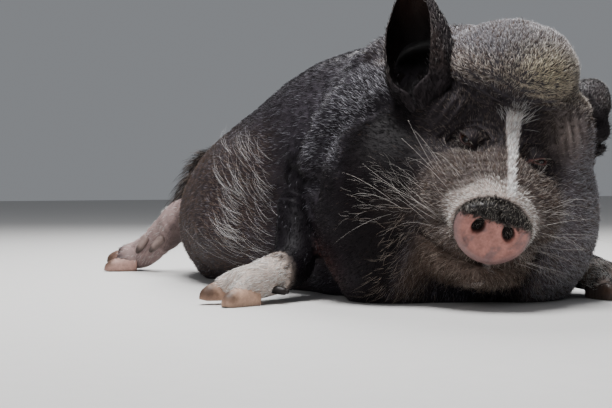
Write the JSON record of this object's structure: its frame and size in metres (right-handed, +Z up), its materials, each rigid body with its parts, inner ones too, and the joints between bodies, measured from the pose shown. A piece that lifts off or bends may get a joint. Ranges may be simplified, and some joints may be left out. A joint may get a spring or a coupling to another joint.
{
  "type": "domestic pig",
  "caption": "Pot-bellied pig lying on its belly with its chin on the ground, a still life-size model with fat folds, upright ears, flat snout and cloven feet.",
  "frame": {"origin": "on the ground under the belly, in the trunk's middle plane", "axes": "+Y along the trunk from head to rump, -X to the pig's right, +Z up"},
  "size_m": [0.6552, 1.1765, 0.4813],
  "materials": {
    "black_hide": "near-black skin under a thin coat of short bristles with grey tips",
    "pale_hide": "pinkish grey skin with sparse pale hair",
    "snout_skin": "moist pink and slate snout skin",
    "claw_horn": "dull beige and brown horn",
    "eye_dark": "wet dark brown eye"
  },
  "bodies": {
    "root": {"ear_left": "black_hide", "ear_right": "black_hide", "eye_left": "eye_dark", "eye_right": "eye_dark", "foreleg_left": "black_hide", "foreleg_left_claw_a": "claw_horn", "foreleg_left_claw_b": "claw_horn", "foreleg_left_dewclaw_a": "claw_horn", "foreleg_left_dewclaw_b": "claw_horn", "foreleg_right": "black_hide", "foreleg_right_claw_a": "claw_horn", "foreleg_right_claw_b": "claw_horn", "foreleg_right_dewclaw_a": "claw_horn", "foreleg_right_dewclaw_b": "claw_horn", "head": "black_hide", "hindleg_left": "pale_hide", "hindleg_left_claw_a": "claw_horn", "hindleg_left_claw_b": "claw_horn", "hindleg_left_dewclaw_a": "claw_horn", "hindleg_left_dewclaw_b": "claw_horn", "hindleg_right": "pale_hide", "hindleg_right_claw_a": "claw_horn", "hindleg_right_claw_b": "claw_horn", "hindleg_right_dewclaw_a": "claw_horn", "hindleg_right_dewclaw_b": "claw_horn", "neck": "black_hide", "snout": "snout_skin", "tail": "black_hide", "torso": "black_hide"}
  },
  "joints": []
}
